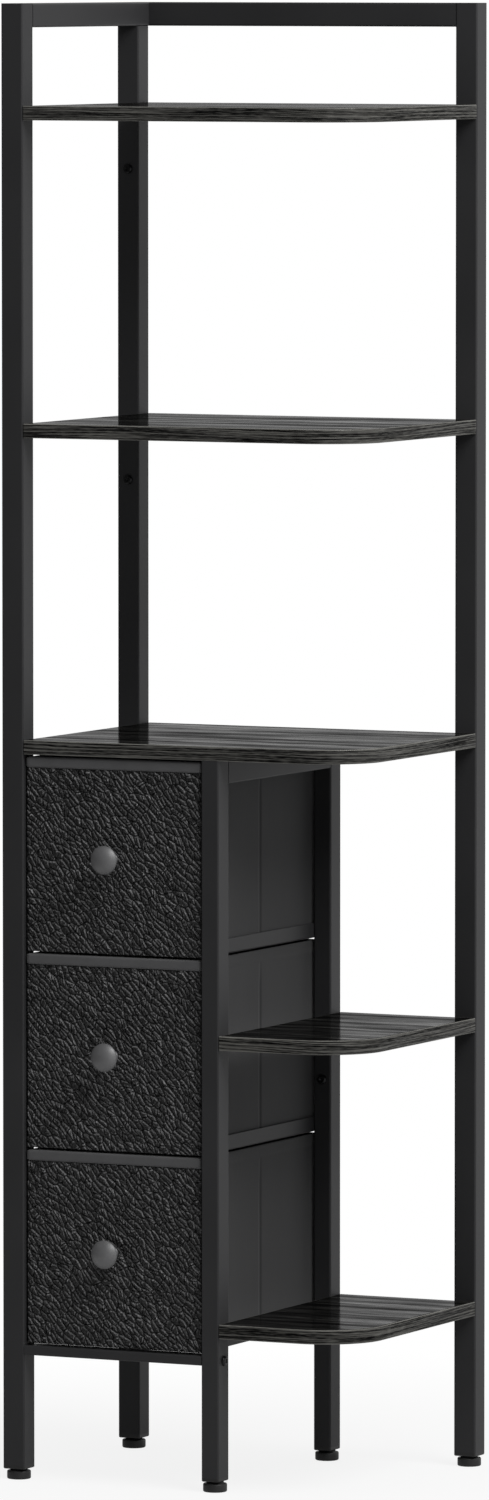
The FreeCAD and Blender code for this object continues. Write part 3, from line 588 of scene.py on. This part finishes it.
BAND_ROUND = 0.002
BAND_WAVE = 0.00022
BAND_END = 0.01
BAND_SIDE_STEPS = 3
BAND_CORNER_STEPS = 6
BAND_STATIONS = 90
FAST_RIPPLE, SLOW_RIPPLE = 31, 13
stations = np.linspace(0, 1, BAND_STATIONS)
for number in DRAWERS:
    low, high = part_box(f"drawer_{number}_band")
    to_end = np.minimum(stations, 1 - stations) * (high.x - low.x)
    pull = fall_back(to_end, BAND_ROUND)
    ripple = np.sin(stations * FAST_RIPPLE + number) * np.cos(stations * SLOW_RIPPLE + 2 * number)
    sag = BAND_WAVE * (1 + ripple) * ease(to_end, 0, BAND_END)
    sections = np.stack([
        plan_ring(
            (low.y + dent, low.z), (high.y, high.z), [BAND_ROUND] * 4, inset / 2,
            BAND_SIDE_STEPS, BAND_CORNER_STEPS,
        )
        for dent, inset in zip(sag, pull)
    ])
    rows, columns = sections.shape[:2]
    along_band = low.x + stations * (high.x - low.x)
    across = np.broadcast_to(along_band[:, None, None], (rows, columns, 1))
    rings = np.concatenate([across, sections], -1)
    piece(
        f"fabric_band_{number}", rings, loop_faces(rows, columns), band_cloth, f"drawer_{number}",
        "band_fabric", f"drawer_{number}_band",
    )

# Drawer boxes
# Folding boxes of stiff cloth over card, which rest on the runners: soft bottom edges, a sewn hem round
# the top, and the fold down the middle of each side.

CLOTH_DARK, CLOTH_LIGHT = srgb(26, 26, 27), srgb(40, 40, 41)
cloth, shader, place = surface(
    "drawer_fabric", Specular_IOR_Level=0.22, Sheen_Weight=0.12, Sheen_Roughness=0.6
)
nap = place.stretch(1.0, 1.0, 0.18).noise(1300.0, 3.0)
shade = place.stretch(1.0, 1.0, 0.25).noise(38.0, 3.0)
(nap * 0.45 + shade * 0.55).colour(CLOTH_DARK, CLOTH_LIGHT).into(shader, "Base Color")
(nap * 0.2 + 0.65).into(shader, "Roughness")
nap.bump(0.35, 0.0003).into(shader, "Normal")

WALL = 0.003
BOX_CORNER = 0.0045
BOX_SIDE_STEPS = 200
BOX_CORNER_STEPS = 6
OUTER_ROWS = 9
INNER_ROWS = 6
BOTTOM_ROUND = 0.0025
HEM_HEIGHT = 0.012
HEM_PROUD = 0.0003
HEM_GROOVE = 0.0004
LIP = 0.0012
FOLD_DEPTH = 0.0011
FOLD_WIDTH = 0.0020
FOLD_OFFSET = -0.004
for number in DRAWERS:
    low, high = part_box(f"drawer_{number}_box")
    hem_line = high.z - HEM_HEIGHT
    bottom = np.stack([
        HEM_PROUD + BOTTOM_ROUND * (1 - np.sin(arc)), low.z + BOTTOM_ROUND * (1 - np.cos(arc))
    ], -1)
    wall_heights = np.linspace(low.z + 2 * BOTTOM_ROUND, hem_line - 2 * LIP, OUTER_ROWS)
    outside = np.stack([np.full(OUTER_ROWS, HEM_PROUD), wall_heights], -1)
    hem = [
        (HEM_PROUD + HEM_GROOVE, hem_line), (0, hem_line + LIP),
        (0, high.z - LIP), (LIP / 3, high.z - LIP / 4),
    ]
    rim = [
        (LIP, high.z), (WALL - LIP, high.z),
        (WALL - LIP / 3, high.z - LIP / 4), (WALL, high.z - LIP),
    ]
    inner_hem = [(WALL, hem_line + LIP), (WALL - HEM_PROUD - HEM_GROOVE, hem_line)]
    inner_heights = np.linspace(hem_line - 2 * LIP, low.z + WALL, INNER_ROWS)
    inside = np.stack([np.full(INNER_ROWS, WALL - HEM_PROUD), inner_heights], -1)
    profile = np.concatenate([bottom, outside, hem, rim, inner_hem, inside])
    rings = stacked_rings(low, high, [BOX_CORNER] * 4, profile, BOX_SIDE_STEPS, BOX_CORNER_STEPS)
    middle = (low + high) / 2
    half = (high.x - low.x) / 2
    sideways = rings[..., 0] - middle.x
    fold = np.exp(-((rings[..., 1] - middle.y - FOLD_OFFSET) / FOLD_WIDTH) ** 2)
    fold *= ease(np.abs(sideways), half - 2 * WALL, half - WALL)
    fold *= 1 - ease(rings[..., 2], hem_line - HEM_HEIGHT, hem_line)
    rings[..., 0] -= np.sign(sideways) * FOLD_DEPTH * fold
    piece(
        f"fabric_box_{number}", rings, loop_faces(*rings.shape[:2]), cloth, f"drawer_{number}",
        "drawer_fabric", f"drawer_{number}_box",
    )

# Knobs
# Turned mushroom knobs in satin dark grey: a small base disc, a slim neck that flares out to a thin
# rim, and a domed face. A screw from inside the box holds each one.


def turned(profile, count, place, axis, hexagon=0.0):
    """A profile of (radius, height) turned about an axis through a place, with flat ends.

    Where hexagon is 1 for a point of the profile, its ring is a hexagon with the radius at its corners:
    the radius times the cosine of 30 degrees, over the cosine of the angle from the middle of a side.
    """
    profile = np.array(profile, float)
    turn = np.arange(count) * 2 * math.pi / count
    flats = math.cos(math.pi / 6) / np.cos(np.mod(turn, math.pi / 3) - math.pi / 6)
    share = np.broadcast_to(hexagon, len(profile))[:, None]
    radius = profile[:, :1] * (1 + share * (flats - 1))
    axis = np.array(axis, float)
    side = np.array((0.0, 0.0, 1.0)) if axis[2] == 0 else np.array((1.0, 0.0, 0.0))
    other = np.cross(axis, side)
    rings = radius[..., None] * (np.cos(turn)[:, None] * side + np.sin(turn)[:, None] * other)
    rings = rings + profile[:, 1, None, None] * axis + np.array(place)
    return rings.reshape(-1, 3), loop_faces(len(profile), count)


KNOB_DARK, KNOB_LIGHT = srgb(76, 76, 77), srgb(92, 92, 93)
knob_paint, shader, place = surface("grey_knob", Specular_IOR_Level=0.75)
grit = place.noise(1100.0)
haze = place.noise(120.0)
(grit * 0.4 + haze * 0.6).colour(KNOB_DARK, KNOB_LIGHT).into(shader, "Base Color")
(haze * 0.1 + 0.42).into(shader, "Roughness")
grit.bump(0.1, 0.0002).into(shader, "Normal")

BASE_RADIUS = 0.0056
BASE_DEPTH = 0.0016
BASE_BEVEL = 0.0003
NECK_RADIUS = 0.0048
NECK_START = 0.02
NECK_FLARE = 4
NECK_PACE = 0.8
DOME_DEPTH = 0.0075
DOME_TIP = 0.02
RIM_THICKNESS = 0.0015
RIM_ROUND = 0.0006
KNOB_STEPS = 14
KNOB_SEGMENTS = 64
flare = np.linspace(0, 1, KNOB_STEPS)
for number in DRAWERS:
    low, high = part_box(f"drawer_{number}_knob")
    centre = ((low.x + high.x) / 2, high.y, (low.z + high.z) / 2)
    broad = (high.x - low.x) / 2
    reach = high.y - low.y
    rim_front = reach - DOME_DEPTH
    rim_back = rim_front - RIM_THICKNESS
    base = [
        (BASE_RADIUS, 0), (BASE_RADIUS, BASE_DEPTH - BASE_BEVEL),
        (BASE_RADIUS - BASE_BEVEL, BASE_DEPTH),
    ]
    neck = np.stack([
        NECK_RADIUS + (broad - RIM_ROUND - NECK_RADIUS) * flare**NECK_FLARE,
        BASE_DEPTH + (rim_back - BASE_DEPTH) * at_least(NECK_START, flare**NECK_PACE),
    ], -1)
    rim = [
        (broad - 0.3 * RIM_ROUND, rim_back + 0.3 * RIM_ROUND), (broad, rim_back + RIM_ROUND),
        (broad, rim_front - RIM_ROUND), (broad - 0.2 * RIM_ROUND, rim_front - 0.3 * RIM_ROUND),
    ]
    ball = (broad**2 + DOME_DEPTH**2) / (2 * DOME_DEPTH)
    lean = np.linspace(math.asin((broad - RIM_ROUND) / ball), DOME_TIP, KNOB_STEPS)
    dome = np.stack([ball * np.sin(lean), reach - ball * (1 - np.cos(lean))], -1)
    profile = np.concatenate([base, neck, rim, dome])
    points, faces = turned(profile, KNOB_SEGMENTS, centre, (0, -1, 0))
    piece(
        f"turned_knob_{number}", points, faces, knob_paint, f"drawer_{number}", "grey_knob",
        f"drawer_{number}_knob",
    )

# Feet and caps
# Black moulded feet: a pad with rounded edges, a short neck and a screw stem that goes up into the cap,
# which plugs the tube's end. The open tube ends at the top have plugs of the same plastic.

PLASTIC_DARK, PLASTIC_LIGHT = srgb(22, 22, 22), srgb(32, 32, 32)
plastic, shader, place = surface("black_plastic", Specular_IOR_Level=0.35)
texture = place.noise(1400.0)
cloud = place.noise(60.0)
cloud.colour(PLASTIC_DARK, PLASTIC_LIGHT).into(shader, "Base Color")
(texture * 0.15 + 0.42).into(shader, "Roughness")
texture.bump(0.15, 0.0002).into(shader, "Normal")
dress(plastic, "post_foot_caps", "divider_foot_caps", "top_plugs")

PAD_HEIGHT = 0.009
PAD_ROUND = 0.0015
FOOT_NECK_RADIUS = 0.009
FOOT_NECK_HEIGHT = 0.002
STEM_RADIUS = 0.004
FOOT_SEGMENTS = 56
FEET = ("front_left_foot", "rear_left_foot", "right_foot", "front_divider_foot", "rear_divider_foot")
for name in FEET:
    low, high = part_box(name)
    centre = ((low.x + high.x) / 2, (low.y + high.y) / 2, low.z)
    shoulder = (high.x - low.x) / 2 - PAD_ROUND
    lower = np.stack([shoulder + PAD_ROUND * np.sin(arc), PAD_ROUND * (1 - np.cos(arc))], -1)
    upper_heights = PAD_HEIGHT - PAD_ROUND * (1 - np.sin(arc))
    upper = np.stack([shoulder + PAD_ROUND * np.cos(arc), upper_heights], -1)
    neck_top = PAD_HEIGHT + FOOT_NECK_HEIGHT
    stem = [
        (FOOT_NECK_RADIUS, PAD_HEIGHT), (FOOT_NECK_RADIUS, neck_top),
        (STEM_RADIUS, neck_top), (STEM_RADIUS, high.z - low.z),
    ]
    points, faces = turned(np.concatenate([lower, upper, stem]), FOOT_SEGMENTS, centre, (0, 0, 1))
    piece(f"levelling_{name}", points, faces, plastic, name, "black_plastic", name)

# Bolts
# Black steel button-head bolts with a hexagon socket, screwed in on the outsides of the posts and on
# the front faces of the rear posts.

BOLT_DARK, BOLT_LIGHT = srgb(20, 20, 21), srgb(34, 34, 35)
bolt_steel, shader, place = surface("black_bolt_steel", Metallic=0.6, Specular_IOR_Level=0.4)
mottle = place.noise(400.0)
mottle.colour(BOLT_DARK, BOLT_LIGHT).into(shader, "Base Color")
(mottle * 0.15 + 0.32).into(shader, "Roughness")
mottle.bump(0.08, 0.0002).into(shader, "Normal")

HEAD_RADIUS = 0.00525
HEAD_HEIGHT = 0.003
HEAD_RIM = 0.0006
SHANK_RADIUS = 0.003
SHANK_POINTS = 3
SOCKET_RADIUS = 0.0023
SOCKET_DEPTH = 0.0019
SOCKET_BEVEL = 0.0002
CROWN_FLAT = 1.25 * SOCKET_RADIUS
CROWN_STEPS = 8
BOLT_SEGMENTS = 48
turn = np.linspace(0, QUARTER, CROWN_STEPS)
crown = np.stack([
    CROWN_FLAT + (HEAD_RADIUS - CROWN_FLAT) * np.cos(turn),
    HEAD_RIM + (HEAD_HEIGHT - HEAD_RIM) * np.sin(turn),
], -1)
socket_floor = HEAD_HEIGHT - SOCKET_DEPTH
socket = [
    (SOCKET_RADIUS + SOCKET_BEVEL, HEAD_HEIGHT), (SOCKET_RADIUS, HEAD_HEIGHT - SOCKET_BEVEL),
    (SOCKET_RADIUS, socket_floor), (SOCKET_BEVEL, socket_floor),
]
hexagon = np.concatenate([np.zeros(SHANK_POINTS + len(crown)), np.ones(len(socket))])


def bolt_group(name, spots):
    """All the bolts of one CAD node, each a profile turned about its axis.

    A spot is where a head sits, which way it faces, and its shank's length.
    """
    clouds = []
    faces = []
    for seat, axis, length in spots:
        shank = [(SHANK_RADIUS, -length), (SHANK_RADIUS, 0), (HEAD_RADIUS, 0)]
        profile = np.concatenate([shank, crown, socket])
        points, own_faces = turned(profile, BOLT_SEGMENTS, seat, axis, hexagon)
        first = len(clouds) * len(points)
        faces += [[first + corner for corner in face] for face in own_faces]
        clouds.append(points)
    piece(f"button_{name}", np.concatenate(clouds), faces, bolt_steel, "frame", "black_bolt_steel", name)


LEFT, RIGHT, TO_FRONT, TO_BACK = (-1, 0, 0), (1, 0, 0), (0, -1, 0), (0, 1, 0)
WIDE_BOARDS = (1, 2, 3)
GRIP = 0.010
left_low, left_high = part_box("front_left_post")
divider_low, divider_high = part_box("front_divider_post")
through_post = left_high.x - left_low.x + GRIP
through_divider = divider_high.x - divider_low.x + GRIP
right_middle = middle_of("right_post")
rear_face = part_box("right_post")[1].y
spots = []
for number in BOARDS:
    z = middle_of(f"shelf_board_{number}").z
    spots.append(((right_middle.x, rear_face, z), TO_BACK, through_post))
    if number in WIDE_BOARDS:
        for post in ("front_left_post", "rear_left_post"):
            spots.append(((left_low.x, middle_of(post).y, z), LEFT, through_post))
bolt_group("shelf_bolts", spots)

spots = []
for rail in ("front_bottom_rail", "rear_bottom_rail", "top_back_rail"):
    y, z = middle_of(rail)[1:]
    spots.append(((left_low.x, y, z), LEFT, through_post))
    if rail != "top_back_rail":
        spots.append(((divider_high.x, y, z), RIGHT, through_divider))
bolt_group("rail_bolts", spots)

BOLT_DROP = 0.070
SHORT_SHANK = 0.012
spots = []
for number, post in ((1, "rear_left_post"), (2, "rear_left_post"), (4, "rear_divider_post")):
    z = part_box(f"shelf_board_{number}")[1].z - BOLT_DROP
    spots.append(((middle_of(post).x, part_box(post)[0].y, z), TO_FRONT, SHORT_SHANK))
bolt_group("rear_post_bolts", spots)
dress(bolt_steel, "divider_shelf_bolts")

# Hidden fixings
# Zinc-plated steel, turned and thread-cut: the sleeves pressed into the board edges, the nuts in the
# rail ends, and the screws that hold the knobs from inside the boxes.

ZINC_DARK, ZINC_LIGHT = srgb(150, 150, 152), srgb(196, 196, 198)
zinc, shader, place = surface("plated_steel", Metallic=1.0)
spangle = place.noise(300.0, 3.0)
spangle.colour(ZINC_DARK, ZINC_LIGHT).into(shader, "Base Color")
(spangle * 0.2 + 0.3).into(shader, "Roughness")
dress(zinc, "board_sleeves", "rail_end_nuts", *[f"drawer_{number}_knob_screw" for number in DRAWERS])

# Drawer base sheets
# Stiff card covered in the drawers' cloth, cut to the inside of the box. Each sheet lies loose in
# the bottom of its box and keeps it flat.

CARD_DARK, CARD_LIGHT = srgb(48, 48, 49), srgb(66, 66, 67)
card, shader, place = surface("base_sheet_board", Specular_IOR_Level=0.2)
felt = place.noise(900.0, 3.0)
felt.colour(CARD_DARK, CARD_LIGHT).into(shader, "Base Color")
(felt * 0.2 + 0.7).into(shader, "Roughness")
felt.bump(0.3, 0.0003).into(shader, "Normal")
dress(card, *[f"drawer_{number}_base_sheet" for number in DRAWERS])
